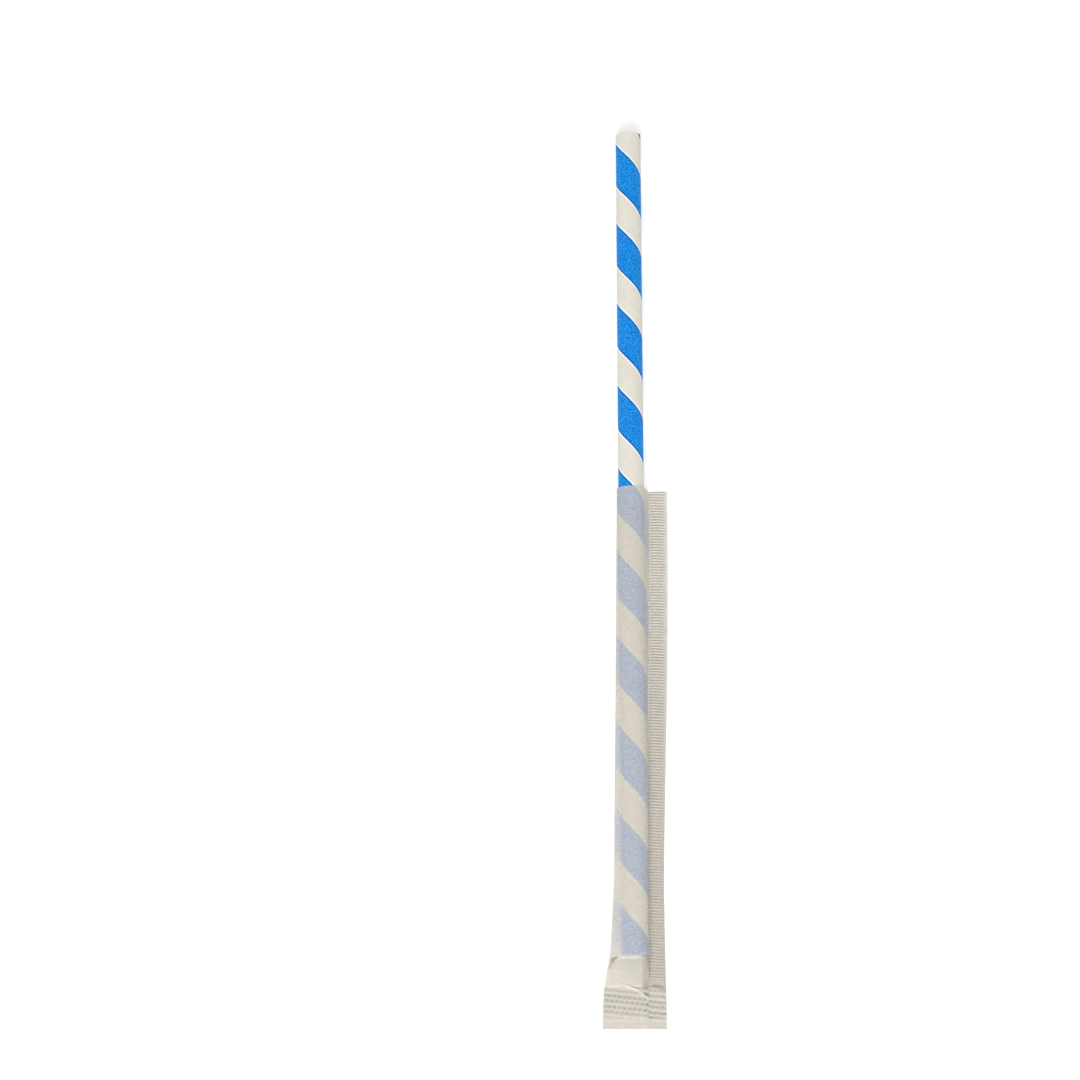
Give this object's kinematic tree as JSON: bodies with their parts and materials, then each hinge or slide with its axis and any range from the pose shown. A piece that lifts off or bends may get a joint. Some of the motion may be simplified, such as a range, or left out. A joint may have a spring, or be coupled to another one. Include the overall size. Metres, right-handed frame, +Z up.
{
  "type": "wrapped drinking straw",
  "caption": "Striped paper drinking straw lying in its half-opened paper sleeve, with a sealed ribbed fin along one side and a crimped, closed end.",
  "frame": {"origin": "middle of the part's length and width, on the surface that it lies on", "axes": "+Y along the straw, from the wrapper's crimped end to the bare drinking end; +X from the straw towards the wrapper's sealed fin; +Z up"},
  "size_m": [0.0156, 0.2132, 0.0064],
  "materials": {
    "straw_paper": "matte uncoated paper with a blue spiral stripe printed on off-white",
    "wrapper_paper": "thin translucent matte tissue paper, embossed at the sealed fin and the crimped end"
  },
  "bodies": {
    "root": {"straw": "straw_paper", "wrapper": "wrapper_paper"}
  },
  "joints": []
}
